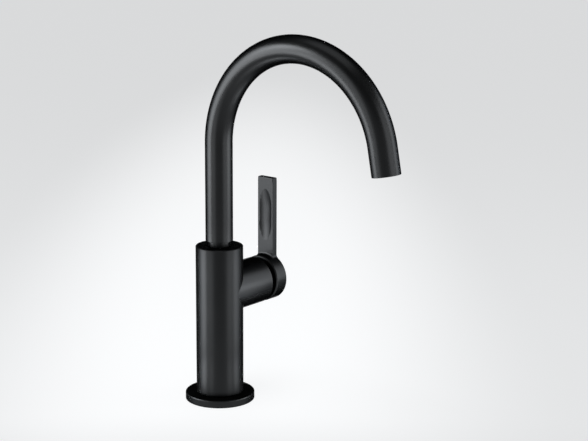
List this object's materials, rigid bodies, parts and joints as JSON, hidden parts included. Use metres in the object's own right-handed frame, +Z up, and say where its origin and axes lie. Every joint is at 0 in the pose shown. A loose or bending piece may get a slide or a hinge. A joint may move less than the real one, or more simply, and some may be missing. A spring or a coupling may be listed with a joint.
{
  "type": "gooseneck bar faucet",
  "caption": "Matte black single-hole bar faucet: round body on a flange, high swivelling gooseneck spout, and a side lever with a flat dished blade.",
  "frame": {"origin": "centre of the flange's underside, on the deck", "axes": "+Z up along the body; the spout points to -Y, towards the user; the lever's branch points to +X, the user's right"},
  "size_m": [0.0981, 0.2196, 0.3294],
  "materials": {
    "black_lacquer": "matte",
    "brass": "machined",
    "rubber": "matte",
    "dark_polymer": "moulded",
    "white_polymer": "moulded",
    "ceramic": "lapped",
    "stainless": "satin"
  },
  "bodies": {
    "body": {"base_flange": "black_lacquer", "deck_gasket": "rubber", "body_shell": "black_lacquer", "inlet_block": "brass", "inlet_o_rings": "rubber", "valve_core": "brass", "cartridge_sleeve": "brass", "sleeve_o_ring": "rubber", "cartridge_base": "dark_polymer", "port_seals": "rubber", "disc_seals": "rubber", "fixed_disc": "ceramic", "cartridge_case": "dark_polymer", "cartridge_nut": "brass", "dome_cap": "black_lacquer", "swivel_collar": "black_lacquer", "swivel_washer": "white_polymer", "thrust_washer": "white_polymer"},
    "yoke": {"cartridge_yoke": "white_polymer", "tilt_pin": "stainless"},
    "disc": {"disc_carrier": "dark_polymer", "moving_disc": "ceramic"},
    "lever": {"lever_stem": "brass", "lever_handle": "black_lacquer", "set_screw": "stainless", "screw_plug": "dark_polymer"},
    "spout": {"spout_tube": "black_lacquer", "spout_neck": "black_lacquer", "neck_o_rings": "rubber", "outlet_insert": "brass", "aerator_washer": "rubber", "aerator_housing": "dark_polymer", "flow_regulator": "white_polymer", "aerator_screen": "stainless", "outlet_grille": "dark_polymer"}
  },
  "joints": [
    {"name": "spout_swivel", "type": "hinge", "parent": "body", "child": "spout", "pos_m": [0, 0, 0.125], "axis": [0, 0, 1], "continuous": true},
    {"name": "mixer_turn", "type": "hinge", "parent": "body", "child": "yoke", "pos_m": [0.036, 0, 0.0983], "axis": [1, 0, 0], "range_deg": [-45, 45]},
    {"name": "lever_tilt", "type": "hinge", "parent": "yoke", "child": "lever", "pos_m": [0.036, 0, 0.0983], "axis": [0, 1, 0], "range_deg": [0, 13]},
    {"name": "disc_slide", "type": "slide", "parent": "yoke", "child": "disc", "axis": [0, 0, 1], "range_m": [0, 0.00182]}
  ],
  "couplings": [
    {"joint": "disc_slide", "follows": "lever_tilt", "m_per_rad": 0.008}
  ]
}
